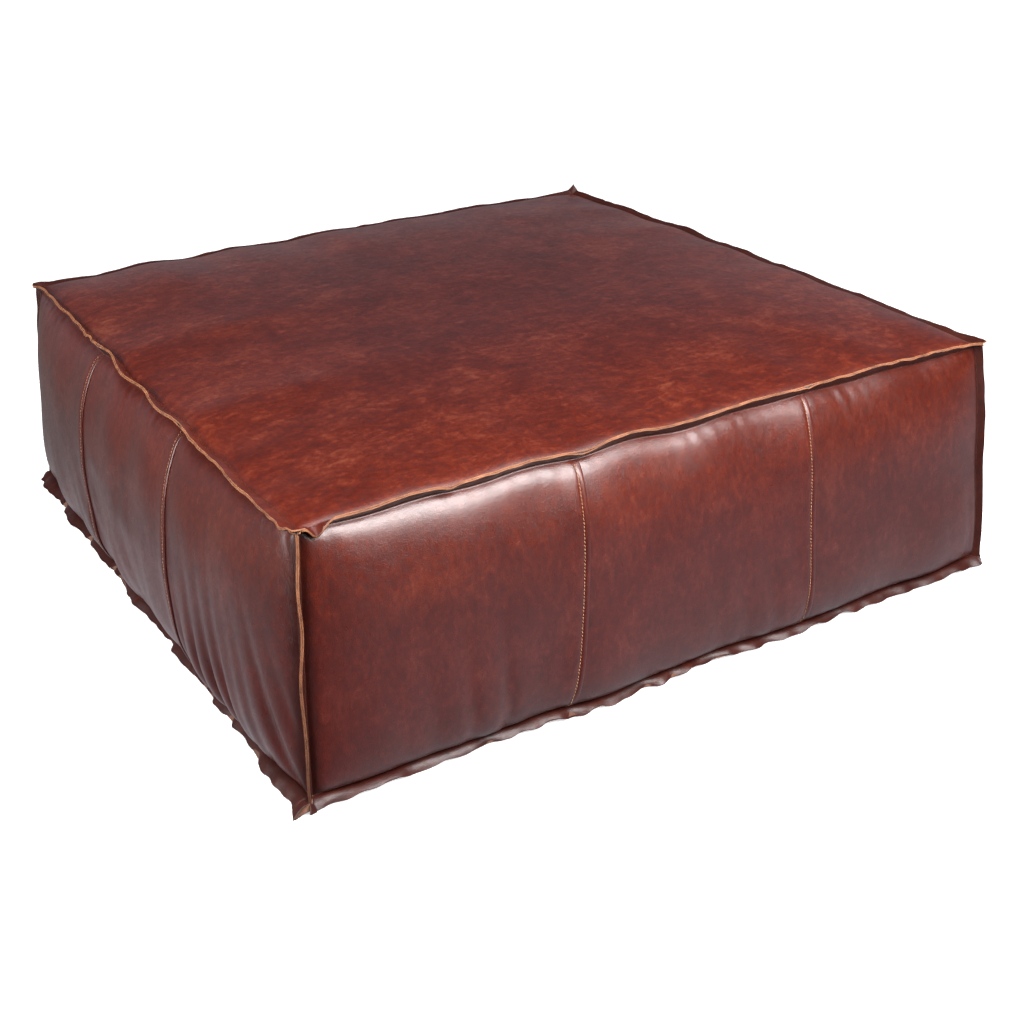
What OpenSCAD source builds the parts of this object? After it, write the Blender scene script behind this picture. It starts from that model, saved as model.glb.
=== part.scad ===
// Square, box-shaped leather floor pouf filled with foam slabs.
// Millimetres, +Z up. The floor is Z = 0 and the pouf is centred on X = Y = 0.
// The front side faces -Y. Left and right on a side are as seen from outside it.
// The cover is sewn with its raw edges outward, so every edge carries a two-ply
// flange. A zip in a sunken channel across the base lets the filling out.

/* [Cover] */
// Side of the square cover, seam to seam
body_w = 921; // [600:5:1100]
// Height from the floor to the top panel's outer face
body_h = 306; // [200:5:450]
// Leather thickness
leather_t = 1.6; // [1:0.1:3]

/* [Seams] */
// How far the raw-edged flanges stand out from the body
flange = 14; // [6:1:25]
// Overlap of two side panels at their upright seam
lap = 12; // [8:1:20]
// Distance from a flange's root to its row of stitches
stitch_in = 3; // [2:0.5:6]
// Distance from an upright seam to its row of topstitching
topstitch_in = 7; // [4:0.5:11]
// Thread thickness
thread_d = 0.8; // [0.4:0.1:1.5]

/* [Zip] */
// Length of the rows of teeth
zip_l = 576; // [400:4:640]
// Length of the sunken channel that holds the zip
channel_l = 640; // [480:10:760]
// Width of the channel
channel_w = 64; // [50:2:90]
// Depth of the channel above the floor
channel_d = 14; // [13:0.5:20]
// Gap between the two leather lips that hold the tapes
lip_gap = 12; // [12:0.5:16]
// Distance from one tooth to the next on a row
tooth_pitch = 4; // [3:0.5:6]
// Length of the slider
slider_l = 16; // [14:1:20]
// Length of the pull tab from its pivot to its tip
pull_l = 30; // [24:1:30]

/* [Filling] */
// Gap from the side leather to the inner bag
bag_in = 7; // [6:0.5:12]
// Cotton thickness of the inner bag
cotton_t = 0.6; // [0.4:0.1:1.2]
// Thickness of the wadding round the foam
wrap_t = 12; // [8:1:25]
// Thickness of the wadding over the foam
sheet_t = 15; // [10:1:30]

/* [Hidden] */
half = body_w / 2;
t = leather_t;
third = body_w / 3;
lap_z = t + 4;
lap_h = body_h - 2 * lap_z;
zt = channel_d + t;
tape_t = 0.6;
tape_l = channel_l - 20;
tooth_n = floor(zip_l / tooth_pitch);
slider_x = zip_l / 2 - 4;
pivot_x = slider_x + 8;
pivot_z = channel_d - 3.8;
hat_z = zt + 4.4;
bag = half - bag_in;
wrap = bag - cotton_t - 0.2;
foam = wrap - wrap_t - 0.3;
fill_z = t + 1.2;
bag_z = t + 0.4;
bag_top = body_h - t - 0.4;
sheet_z = bag_top - cotton_t - 0.4 - sheet_t;
slab_h = (sheet_z - 0.2 - fill_z) / 3;
$fn = 32;

// ---- shared shapes ----

// A block given by its two opposite corners.
module block(a, b) {
  translate(a) cube(b - a);
}

// Turns a front-side shape onto side k: 0 front, 1 right, 2 back, 3 left.
module on_side(k) {
  rotate([0, 0, 90 * k]) children();
}

// The wedge of the plan that belongs to the front side, mitred on the diagonals.
module side_wedge() {
  r = half + flange + 5;
  linear_extrude(body_h + 10) polygon([[0, 0], [-r, -r], [r, -r]]);
}

// Flange ply that points out of an upright edge, s = -1 left end, 1 right end.
module corner_ply(s) {
  translate([s * half, -half, t]) rotate([0, 0, -90 + s * 45])
    translate([-t, s < 0 ? 0 : -t, 0]) cube([flange + t, t, body_h - 2 * t]);
}

// One of three leather panels on the front side, i = 0 left, 1 middle, 2 right.
// Its right end is folded back inside. Its left end steps in behind the next one.
module side_panel(i) {
  ua = -half + i * third;
  ub = ua + third;
  intersection() {
    union() {
      block([ua, -half, t], [ub, -half + t, body_h - t]);
      for (z = [t, body_h - 2 * t])
        block([ua - (i == 0 ? flange : 0), -half - flange, z],
              [ub + (i == 2 ? flange : 0), -half + t, z + t]);
      if (i == 0) corner_ply(-1);
      if (i == 2) corner_ply(1);
      if (i < 2) block([ub - lap, -half, lap_z], [ub, -half + 2 * t, lap_z + lap_h]);
      if (i > 0) block([ua, -half, lap_z], [ua + t, -half + 3 * t, lap_z + lap_h]);
      if (i > 0) block([ua - lap, -half + 2 * t, lap_z], [ua + t, -half + 3 * t, lap_z + lap_h]);
    }
    side_wedge();
  }
}

// Needle thread outside and bobbin thread inside, beside both upright seams.
module topstitch() {
  for (ua = [-half + third, half - third]) {
    u = ua - topstitch_in;
    block([u - thread_d / 2, -half - thread_d, 2 * t + 1.5],
          [u + thread_d / 2, -half, body_h - 2 * t - 1.5]);
    block([u - thread_d / 2, -half + 3 * t, lap_z + 2],
          [u + thread_d / 2, -half + 3 * t + thread_d, lap_z + lap_h - 2]);
  }
}

// A strand along the front flange with its underside at height z.
module flange_strand(z) {
  block([-half, -half - stitch_in - thread_d, z], [half, -half - stitch_in, z + thread_d]);
}

// Half of the base, on the front side of the centre seam, with its zip lip.
module base_half() {
  difference() {
    union() {
      block([-half - flange, -half - flange, 0], [half + flange, 0, t]);
      block([-half + 20, -t, 0], [half - 20, 0, lap]);
    }
    block([-channel_l / 2, -channel_w / 2, -1], [channel_l / 2, 1, lap + 1]);
  }
  block([-channel_l / 2, -channel_w / 2 - t, 0], [channel_l / 2, -channel_w / 2, zt]);
  block([-channel_l / 2, -channel_w / 2 - t, channel_d], [channel_l / 2, -lip_gap / 2, zt]);
}

// Leather tab that closes the right-hand end of the zip channel.
module end_tab() {
  block([channel_l / 2 - t, -channel_w / 2, 0], [channel_l / 2, channel_w / 2, channel_d]);
  block([channel_l / 2 - 15, -20, channel_d - t], [channel_l / 2, 20, channel_d]);
}

module tape() {
  block([-tape_l / 2, -16, zt], [tape_l / 2, -3.2, zt + tape_t]);
}

// A row of teeth on its bead. Turned about Z by 180 degrees it meshes with itself.
module teeth() {
  z0 = zt - 0.9;
  z1 = zt + 1.5;
  block([-zip_l / 2, -3.2, z0], [zip_l / 2, -1.7, z1]);
  for (i = [0 : tooth_n - 1]) {
    x = -zip_l / 2 + 0.2 + i * tooth_pitch;
    block([x, -2, z0], [x + tooth_pitch / 2 - 0.4, 1.5, z1]);
  }
}

// Metal clamp on the bead edges of both tapes, from x0 to x1, whole or in two.
module stop_clamp(x0, x1, whole) {
  difference() {
    block([x0, -5.6, zt - 1.2], [x1, 5.6, zt + 1.8]);
    for (s = [0, 180]) rotate([0, 0, s])
      block([-zip_l, -20, zt], [zip_l, -3.2, zt + tape_t]);
    if (!whole) block([x0 - 1, -2.2, zt - 2], [x1 + 1, 2.2, zt + 2]);
  }
}

// The space that the cotton and filling leave over the zip, widened by g.
module zip_tunnel(g) {
  block([-half, -38 - g, -1], [half, 38 + g, hat_z + g]);
}

module square_slab(r, z0, z1) {
  block([-r, -r, z0], [r, r, z1]);
}

// ---- leather cover ----

module top_panel() {
  color("sienna") square_slab(half + flange, body_h - t, body_h);
}
module front_panel_left() { color("saddlebrown") on_side(0) side_panel(0); }
module front_panel_middle() { color("sienna") on_side(0) side_panel(1); }
module front_panel_right() { color("saddlebrown") on_side(0) side_panel(2); }
module right_panel_left() { color("saddlebrown") on_side(1) side_panel(0); }
module right_panel_middle() { color("sienna") on_side(1) side_panel(1); }
module right_panel_right() { color("saddlebrown") on_side(1) side_panel(2); }
module back_panel_left() { color("saddlebrown") on_side(2) side_panel(0); }
module back_panel_middle() { color("sienna") on_side(2) side_panel(1); }
module back_panel_right() { color("saddlebrown") on_side(2) side_panel(2); }
module left_panel_left() { color("saddlebrown") on_side(3) side_panel(0); }
module left_panel_middle() { color("sienna") on_side(3) side_panel(1); }
module left_panel_right() { color("saddlebrown") on_side(3) side_panel(2); }
module base_panel_front() { color("peru") base_half(); }
module base_panel_rear() { color("peru") rotate([0, 0, 180]) base_half(); }

// ---- zip ----

module zip_end_tab_right() { color("chocolate") end_tab(); }
module zip_end_tab_left() { color("chocolate") rotate([0, 0, 180]) end_tab(); }
module zip_tape_front() { color("dimgray") tape(); }
module zip_tape_rear() { color("dimgray") rotate([0, 0, 180]) tape(); }
module zip_teeth_front() { color("goldenrod") teeth(); }
module zip_teeth_rear() { color("goldenrod") rotate([0, 0, 180]) teeth(); }
module zip_top_stops() {
  color("silver") stop_clamp(zip_l / 2 + 13, zip_l / 2 + 16, false);
}
module zip_bottom_stop() {
  color("silver") stop_clamp(-zip_l / 2 - 4, -zip_l / 2 - 1, true);
}

// Two wings joined by a post at the front, with a small bail for the pull tab.
module zip_slider() {
  color("silver") {
    difference() {
      block([slider_x, -5.4, zt - 2.9], [slider_x + slider_l, 5.4, zt + 3.4]);
      block([slider_x - 1, -3.7, zt - 1.3], [slider_x + slider_l + 1, 3.7, zt + 1.9]);
      block([slider_x - 1, -6, zt - 0.4], [slider_x + slider_l + 1, 6, zt + 1]);
    }
    block([slider_x + slider_l - 5.5, -1.2, zt - 2.9], [slider_x + slider_l - 1, 1.2, zt + 3.4]);
    for (s = [-1, 1])
      block([pivot_x - 1.2, s * 2.6 - 0.6, pivot_z - 0.8], [pivot_x + 1.2, s * 2.6 + 0.6, zt - 2.5]);
    translate([pivot_x, 0, pivot_z]) rotate([90, 0, 0])
      cylinder(h = 6, r = 0.8, center = true);
  }
}

// Flat tab that turns on the slider's bail.
module zip_pull_tab() {
  color("silver") difference() {
    union() {
      translate([pivot_x, 0, pivot_z]) rotate([90, 0, 0])
        cylinder(h = 3.2, r = 2, center = true);
      block([pivot_x - 6, -1.6, pivot_z - 0.8], [pivot_x - 0.5, 1.6, pivot_z + 0.8]);
      block([pivot_x - pull_l + 4.5, -4.5, pivot_z - 0.8], [pivot_x - 5, 4.5, pivot_z + 0.8]);
      translate([pivot_x - pull_l + 4.5, 0, pivot_z - 0.8]) cylinder(h = 1.6, r = 4.5);
    }
    translate([pivot_x, 0, pivot_z]) rotate([90, 0, 0])
      cylinder(h = 8, r = 1.15, center = true);
  }
}

// ---- inner bag and filling ----

module bag_base() {
  color("linen") difference() {
    union() {
      square_slab(bag - cotton_t, bag_z, bag_z + cotton_t);
      block([-bag + cotton_t, -38 - cotton_t, bag_z], [bag - cotton_t, 38 + cotton_t, hat_z + cotton_t]);
    }
    zip_tunnel(0);
  }
}
module bag_band() {
  color("linen") difference() {
    square_slab(bag, bag_z, bag_top);
    square_slab(bag - cotton_t, 0, body_h);
  }
}
module bag_top_sheet() {
  color("linen") square_slab(bag - cotton_t, bag_top - cotton_t, bag_top);
}
module foam_base_slab() {
  color("khaki") difference() {
    square_slab(foam, fill_z, fill_z + slab_h - 0.2);
    zip_tunnel(1.4);
  }
}
module foam_middle_slab() {
  color("khaki") square_slab(foam, fill_z + slab_h, fill_z + 2 * slab_h - 0.2);
}
module foam_top_slab() {
  color("khaki") square_slab(foam, fill_z + 2 * slab_h, fill_z + 3 * slab_h);
}
module wadding_side_wrap() {
  color("white") difference() {
    square_slab(wrap, fill_z, sheet_z - 0.2);
    square_slab(wrap - wrap_t, 0, body_h);
    zip_tunnel(1.4);
  }
}
module wadding_top_sheet() {
  color("white") square_slab(wrap, sheet_z, sheet_z + sheet_t);
}

// ---- thread ----

module top_seam_thread() {
  color("tan") for (k = [0 : 3]) on_side(k) {
    flange_strand(body_h);
    flange_strand(body_h - 2 * t - thread_d);
  }
}
module base_seam_thread() {
  color("tan") for (k = [0 : 3]) on_side(k) flange_strand(2 * t);
}
module corner_seam_threads() {
  color("tan") for (k = [0 : 3], s = [0, 1]) on_side(k)
    translate([-half, -half, 2 * t + 1.5]) rotate([0, 0, 225])
      translate([stitch_in, s == 0 ? t : -t - thread_d, 0])
        cube([thread_d, thread_d, body_h - 4 * t - 3]);
}
module front_topstitch() { color("tan") on_side(0) topstitch(); }
module right_topstitch() { color("tan") on_side(1) topstitch(); }
module back_topstitch() { color("tan") on_side(2) topstitch(); }
module left_topstitch() { color("tan") on_side(3) topstitch(); }
module zip_stitching() {
  color("tan") for (s = [-1, 1], z = [channel_d - thread_d, zt + tape_t])
    block([-tape_l / 2 + 8, s * 11 - thread_d / 2, z], [tape_l / 2 - 8, s * 11 + thread_d / 2, z + thread_d]);
}
module base_centre_thread() {
  color("tan") for (s = [0, 180]) rotate([0, 0, s])
    for (y = [-t - thread_d, t])
      block([channel_l / 2 + 2, y, lap / 2], [half - 22, y + thread_d, lap / 2 + thread_d]);
}

top_panel();
front_panel_left();
front_panel_middle();
front_panel_right();
right_panel_left();
right_panel_middle();
right_panel_right();
back_panel_left();
back_panel_middle();
back_panel_right();
left_panel_left();
left_panel_middle();
left_panel_right();
base_panel_front();
base_panel_rear();
zip_end_tab_left();
zip_end_tab_right();
zip_tape_front();
zip_tape_rear();
zip_teeth_front();
zip_teeth_rear();
zip_top_stops();
zip_bottom_stop();
zip_slider();
zip_pull_tab();
bag_base();
bag_band();
bag_top_sheet();
foam_base_slab();
foam_middle_slab();
foam_top_slab();
wadding_side_wrap();
wadding_top_sheet();
top_seam_thread();
base_seam_thread();
corner_seam_threads();
front_topstitch();
right_topstitch();
back_topstitch();
left_topstitch();
zip_stitching();
base_centre_thread();
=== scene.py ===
"""Looks of a large square leather floor pouf, in the frame of its CAD model."""
import bmesh
import bpy
import math
import numpy as np
from mathutils import Matrix, Vector
from mathutils.bvhtree import BVHTree


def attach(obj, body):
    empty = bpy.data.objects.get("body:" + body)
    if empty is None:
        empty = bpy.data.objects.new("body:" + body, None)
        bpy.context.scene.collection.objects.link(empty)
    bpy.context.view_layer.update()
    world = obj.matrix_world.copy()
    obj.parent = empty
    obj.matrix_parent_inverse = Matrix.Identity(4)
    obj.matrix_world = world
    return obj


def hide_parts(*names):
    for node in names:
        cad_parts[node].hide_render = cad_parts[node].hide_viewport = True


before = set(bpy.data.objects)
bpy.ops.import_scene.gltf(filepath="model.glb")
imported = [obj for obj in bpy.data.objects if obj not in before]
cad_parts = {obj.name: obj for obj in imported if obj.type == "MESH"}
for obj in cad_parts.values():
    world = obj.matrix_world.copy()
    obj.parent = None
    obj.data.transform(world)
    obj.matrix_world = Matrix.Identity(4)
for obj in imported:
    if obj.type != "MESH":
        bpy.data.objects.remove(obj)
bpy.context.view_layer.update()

# ---- sizes, in metres
TOP_HALF = 0.450        # half the side of the top seam's square
BASE_HALF = 0.4715      # half the side of the base seam's square
TOP_Z = 0.298           # height of the top seam at the corners
BASE_Z = 0.009          # height of the base seam
WIDTH, HEIGHT = 2 * TOP_HALF, TOP_Z - BASE_Z
RISE = 0.3              # rounded length of an upright seam
LEATHER = 0.0015        # leather thickness
PLY = LEATHER + 0.00003         # with the play between the two plies of a flange
CROWN = 0.0125          # rise of the top over its seam
ROLL = 0.0065           # how far, and how steeply, the leather rolls out of its seams
TOP_FLANGE, BASE_FLANGE, CORNER_FLANGE = 0.0135, 0.0160, 0.0100
LAP_STITCH = 0.0070     # from a panel's folded edge to its topstitching
TABLE = 0.0003          # height of the base's underside over the floor
LOWEST = 0.0022         # lowest that the side panels' flanges come
EAR = 0.8               # how full the squares of leather at the flanges' corners are
# tips of the near lower ear: the left panel's, the front panel's and the base's
NEAR_TIPS = {3: (-0.4990, -0.4885, 0.0030), 0: (-0.4810, -0.4920, 0.0040),
             "base": (-0.4965, -0.4865, 0.0005)}
UP = np.array([0.0, 0.0, 1.0])
# direction along each side, to the right as seen from outside, and outward
SIDES = [(np.array([x, y, 0.0]), np.array([y, -x, 0.0])) for x, y in ((1, 0), (0, 1), (-1, 0), (0, -1))]
SIDE_NAMES = ["front", "right", "back", "left"]
PANEL_NAMES = ["left", "middle", "right"]

# ---- sides, in that order
BULGE = (0.018, 0.020, 0.020, 0.0285)           # how far each swells
LOW_ROLL = (0.7, 0.5, 0.5, 0.2)                 # how much fuller it is near the base
GATHERED = (0.25, 0.5, 0.5, 1.0)                # depth of its folds over the base seam
DRIFT = (0.07, 0.07, 0.07, 0.17)                # how far they slant
# rise of each top flange in degrees, at its left and its right end
TOP_LEAN = [(47, 58), (0, 22), (8, 4), (56, 16)]
TOP_WAVY = (1, 0.4, 0.7, 1)                     # how wavy it is
BASE_RUMPLED = (1, 1, 1, 0.35)                  # how rumpled each base flange is
BASE_WIDE = (1, 1, 1, 1.28)                     # its width, as a share
BASE_UNEVEN = (0.12, 0.12, 0.12, 0.07)          # how unevenly it is cut
BASE_STEPS = [(-0.55, 0.10, 0.52), (-0.4, 0.3), (-0.6, 0.15), (0.22, 0.51, 0.62, 0.80)]
CORNER_TURN = (6.0, 0.0, 0.0, 18.0)     # degrees that each upright flange is pushed round
SLACK = (0.6, 0.8, 0.8, 1.3, 0.3)       # spare leather in the sides and the top
FOLDS = (1.0, 1.2, 1.2, 1.3, 1.0)       # strength of the settled folds
SWELL = (0, 0, 0, 0, 0.08)              # share of the settled leather's wider swell
# where the upright panel seams meet the top and base seams, from -1 to 1
PANEL_SEAMS = [[(-0.31, -0.345), (0.375, 0.365)], [(-0.34, -0.33), (0.35, 0.34)],
               [(-0.33, -0.34), (0.34, 0.33)], [(-0.285, -0.26), (0.37, 0.40)]]


def waves(x, seed, low, high, n=6):
    """A smooth seeded wobble of about unit height, with low to high waves a metre."""
    r = np.random.RandomState(seed)
    out = np.zeros_like(x, dtype=float)
    for _ in range(n):
        out = out + r.uniform(0.5, 1) * np.sin(2 * np.pi * (r.uniform(low, high) * x + r.uniform()))
    return out * 1.6 / math.sqrt(n)


def ripple(s, *args):
    """Waves along a side, s from -1 to 1."""
    return waves(s * TOP_HALF, *args)


def smooth(x):
    x = np.clip(x, 0, 1)
    return x * x * (3 - 2 * x)


def bell(x, at, width):
    return np.exp(-((x - at) / width) ** 2)


def col(a):
    return np.asarray(a)[..., None]


def quads(n, m, closed=False):
    """Faces of a grid of n by m points, wound so that +i x +j is outward."""
    return [(i * m + j, (i + 1) % n * m + j, (i + 1) % n * m + j + 1, i * m + j + 1)
            for i in range(n if closed else n - 1) for j in range(m - 1)]


def linked(name, data):
    ob = bpy.data.objects.new(name, data)
    bpy.context.scene.collection.objects.link(ob)
    return ob


def evaluated(ob):
    return ob.evaluated_get(bpy.context.evaluated_depsgraph_get())


# ---- seam lines
def seam(k, s, half, z, bow, arch, *wobbles):
    """Seam along side k, bowed out and arched up, with a wobble each way."""
    along, out = SIDES[k]
    mid, ends = 1 - s ** 2, 1 - np.abs(s) ** 10
    o, z = (at + rise * mid + size * ripple(s, seed + k, 2, high) * ends
            for at, rise, (size, seed, high) in zip((half, z), (bow, arch), wobbles))
    return along * col(half * s) + out * col(o) + UP * col(z)


def top_seam(k, s):
    return seam(k, s, TOP_HALF, TOP_Z, 0.006, 0.003, (0.0014, 10, 9), (0.0012, 20, 9))


def base_seam(k, s):
    return seam(k, s, BASE_HALF, BASE_Z, 0.003, 0.0, (0.0022, 30, 8), (0.0010, 50, 10))


def corner_seam(c, v):
    """The upright seam at the right-hand end of side c, from base to top."""
    d = sum(SIDES[c])
    top, base = d * TOP_HALF + UP * TOP_Z, d * BASE_HALF + UP * BASE_Z
    ends = 1 - np.abs(2 * v - 1) ** 6
    swell = 0.004 * np.sin(np.pi * v) + 0.0006 * waves(v * RISE, 40 + c, 1, 8) * ends
    return base * col(1 - v) + top * col(v) + d / math.sqrt(2) * col(swell)


# ---- flanges
def turned(angle, out):
    """Direction at an angle above the outward one, and the one square to it."""
    return (out * col(np.cos(angle)) + UP * col(np.sin(angle)),
            UP * col(np.cos(angle)) - out * col(np.sin(angle)))


def top_flange(k, s, r):
    """Middle of the top flange at reach r (0 to 1) and its normal, to the top's side."""
    out = SIDES[k][1]
    first, last = TOP_LEAN[k]
    flat = first + (last - first) * smooth((s + 1) / 2) ** 2
    flat = flat + (26 - flat) * np.abs(s) ** 14
    kinks = np.clip(ripple(s, 66 + k, 2, 7, 5), 0, 1) ** 2
    flat = flat + TOP_WAVY[k] * (3.5 * ripple(s, 60 + k, 2, 9, 8) + 7 * kinks * ripple(s, 65 + k, 18, 42, 6))
    if k == 0:                      # folded down beside the near corner
        flat = flat - 78 * bell(s, -0.966, 0.016)
    lean = np.radians(flat)
    curl = np.radians(5 * ripple(s, 70 + k, 5, 24, 9))
    width = TOP_FLANGE * (1 + 0.06 * ripple(s, 80 + k, 6, 50, 10))
    return (top_seam(k, s) + turned(lean + curl * r / 2, out)[0] * col(width * r),
            turned(lean + curl * r, out)[1])


def base_flange(k, s, r):
    """Middle of the base flange and its normal, upward to the side panel's ply."""
    out = SIDES[k][1]
    rough = BASE_RUMPLED[k]
    dip = np.radians(24 + 9 * rough * ripple(s, 90 + k, 3, 14, 8) * (1 - 0.5 * np.abs(s) ** 14))
    rumple = rough * (18 * ripple(s, 100 + k, 5, 26, 9) + 6 * ripple(s, 105 + k, 30, 80, 9))
    curl = np.radians(-102 + rumple)
    width = BASE_FLANGE * BASE_WIDE[k] * (1 + BASE_UNEVEN[k] * ripple(s, 110 + k, 6, 44, 10))
    if k == 3:                      # wider towards the far end of the left side
        width = width * (1 + 0.25 * smooth((-0.40 - s) / 0.30))
    for at in BASE_STEPS[k]:        # the cut steps in, then widens again slowly
        width = width * (1 - 0.42 * np.exp(-np.clip(at - s, 0, 2) / 0.10) * smooth((at - s) / 0.006 + 0.5))
    pos = base_seam(k, s) + turned(dip + curl * r / 2, out)[0] * col(width * r)
    floor, soft = PLY + 0.0004, 0.0012
    pos[..., 2] = floor + np.log1p(np.exp((pos[..., 2] - floor) / soft)) * soft
    return pos, turned(dip + curl * r, out)[1]


def corner_flange(c, v, r):
    """Middle of the upright flange at corner c and its normal, to the next side."""
    turn = np.radians(CORNER_TURN[c] + 3 * waves(v * RISE, 120 + c, 3, 12, 7))
    curl = np.radians(8 * waves(v * RISE, 130 + c, 3, 16, 7))
    d = sum(SIDES[c])
    base = math.atan2(d[1], d[0])
    a, b = base + turn + curl * r / 2, base + turn + curl * r
    width = CORNER_FLANGE * (1 + 0.035 * waves(v * RISE, 140 + c, 4, 30, 8))
    ahead = np.stack([np.cos(a), np.sin(a), 0 * a], -1)
    normal = np.stack([-np.sin(b), np.cos(b), 0 * b], -1)
    return corner_seam(c, v) + ahead * col(width * r), normal


def ply(mid, normal, side, r, seed, x, knot=0.0):
    """Grain side of one ply of a flange; side is +1 or -1 along the normal, x metres."""
    part = 0.5 + 0.5 * np.clip(waves(x, seed, 3, 16, 6), -1, 1)
    return mid + normal * col(side * (PLY + 0.0002 * part * r ** 2 + knot))


def top_knots(k, s):
    """Extra thickness where the folded upright seams run up into the top flange."""
    return sum(0.0009 * bell(s, top, 0.011) for top, base in PANEL_SEAMS[k])


# ---- cover shape
NU, NV = 96, 30         # cloth cells along and up a side


def coons(c0, c1, d0, d1):
    """Grid of points spanned between four edges."""
    s, v = np.meshgrid(np.linspace(0, 1, len(c0)), np.linspace(0, 1, len(d0)), indexing="ij")
    s, v = col(s), col(v)
    return ((1 - v) * c0[:, None] + v * c1[:, None] + (1 - s) * d0[None] + s * d1[None]
            - (1 - s) * (1 - v) * c0[0] - s * (1 - v) * c0[-1] - (1 - s) * v * c1[0] - s * v * c1[-1])


def start_side(k):
    s, v = np.linspace(-1, 1, NU + 1), np.linspace(0, 1, NV + 1)
    p = coons(base_seam(k, s), top_seam(k, s), corner_seam((k - 1) % 4, v), corner_seam(k, v))
    blunt = np.where(v < 0.5, 5.5, 4.2)
    swell = (1 - np.abs(s) ** 7)[:, None] * (1 - np.abs(2 * v - 1) ** blunt)[None]
    return p + SIDES[k][1] * col(BULGE[k] * swell)


def start_top():
    s = np.linspace(-1, 1, NU + 1)
    f, r, b, l = (top_seam(k, s) for k in range(4))
    swell = 1 - np.abs(s) ** 6.5
    return coons(f, b[::-1], l[::-1], r) + UP * CROWN * col(swell[:, None] * swell[None])


def simulate(grids):
    """Lets the leather settle as cloth with its seams held, and returns the grids."""
    verts, faces, pinned, slack = [], [], [], []
    for g, spare in zip(grids, SLACK):
        n, m = g.shape[:2]
        first = len(verts)
        verts += g.reshape(-1, 3).tolist()
        faces += [tuple(first + c for c in quad) for quad in quads(n, m)]
        rim = np.ones((n, m), bool)
        rim[1:-1, 1:-1] = False
        pinned += (first + np.flatnonzero(rim)).tolist()
        slack += [spare / max(SLACK)] * (n * m)
    me = bpy.data.meshes.new("settling")
    me.from_pydata(verts, [], faces)
    ob, scene = linked("settling", me), bpy.context.scene
    ob.vertex_groups.new(name="pin").add(pinned, 1.0, "REPLACE")
    loose = ob.vertex_groups.new(name="loose")
    for i, w in enumerate(slack):
        loose.add([i], w, "REPLACE")
    mod = ob.modifiers.new("Cloth", "CLOTH")
    c = mod.settings
    c.vertex_group_mass, c.vertex_group_shrink = "pin", "loose"
    c.shrink_min, c.shrink_max = 0.0, -0.0060
    c.quality, c.mass, c.air_damping = 5, 0.1, 2
    c.tension_stiffness = c.compression_stiffness = 30
    c.shear_stiffness, c.bending_stiffness = 15, 9
    c.use_pressure, c.uniform_pressure_force = True, 2.2
    c.effector_weights.gravity = 0.0
    mod.collision_settings.use_collision = False
    frames = 20
    mod.point_cache.frame_start = scene.frame_start = 1
    mod.point_cache.frame_end = scene.frame_end = frames
    for f in range(1, frames + 1):
        scene.frame_set(f)
    co = np.empty(len(verts) * 3)
    evaluated(ob).data.vertices.foreach_get("co", co)
    bpy.data.objects.remove(ob)
    bpy.data.meshes.remove(me)
    scene.frame_set(1)
    ends = np.cumsum([g.size for g in grids])[:-1]
    return [part.reshape(g.shape) for part, g in zip(np.split(co, ends), grids)]


def weights(x):
    """Catmull-Rom weights of four neighbours."""
    return [-0.5 * x + x ** 2 - 0.5 * x ** 3, 1 - 2.5 * x ** 2 + 1.5 * x ** 3,
            0.5 * x + 2 * x ** 2 - 1.5 * x ** 3, -0.5 * x ** 2 + 0.5 * x ** 3]


def sample(grid, s, v):
    """Smooth point of a grid at s and v, both from 0 to 1."""
    n, m = grid.shape[:2]
    g = np.empty((n + 2, m + 2, 3))
    g[1:-1, 1:-1] = grid
    g[0, 1:-1], g[-1, 1:-1] = 2 * grid[0] - grid[1], 2 * grid[-1] - grid[-2]
    g[:, 0], g[:, -1] = 2 * g[:, 1] - g[:, 2], 2 * g[:, -2] - g[:, -3]
    x, y = np.clip(s, 0, 1) * (n - 1), np.clip(v, 0, 1) * (m - 1)
    i, j = np.minimum(x.astype(int), n - 2), np.minimum(y.astype(int), m - 2)
    wx, wy = weights(x - i), weights(y - j)
    out = 0
    for a in range(4):
        for b in range(4):
            out = out + g[i + a, j + b] * col(wx[a] * wy[b])
    return out


def blurred(a, reach, axis):
    """Running mean along an axis, the ends held at the edge values."""
    pad = [(reach, reach) if i == axis else (0, 0) for i in range(a.ndim)]
    c = np.cumsum(np.pad(a, pad, mode="edge"), axis=axis)
    n, span = a.shape[axis], 2 * reach + 1
    c = np.concatenate([np.zeros_like(np.take(c, [0], axis)), c], axis)
    return (np.take(c, range(span, span + n), axis) - np.take(c, range(n), axis)) / span


def wrinkles(start, settled, gain, share):
    """The start shape with the settled cloth's folds, and a share of its wider swell."""
    move = wide = settled - start
    n, m = start.shape[:2]
    for _ in range(2):
        wide = blurred(blurred(wide, 7, 0), 5 if m < 60 else 7, 1)
    edge = np.minimum.outer(*(np.minimum(np.arange(c), np.arange(c)[::-1]) for c in (n, m)))
    return start + ((move - wide) * gain + wide * share) * col(smooth(edge / 3.0))


cover = [start_side(k) for k in range(4)] + [start_top()]
cover = [wrinkles(*four) for four in zip(cover, simulate(cover), FOLDS, SWELL)]


# ---- mesh helpers
def make(name, verts, faces, materials=()):
    me = bpy.data.meshes.new(name)
    me.from_pydata([tuple(x) for x in verts], [], faces)
    me.validate()
    return placed(name, me, materials)


def placed(name, me, materials=()):
    for p in me.polygons:
        p.use_smooth = True
    for mat in materials:
        me.materials.append(mat)
    return linked(name, me)


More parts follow.
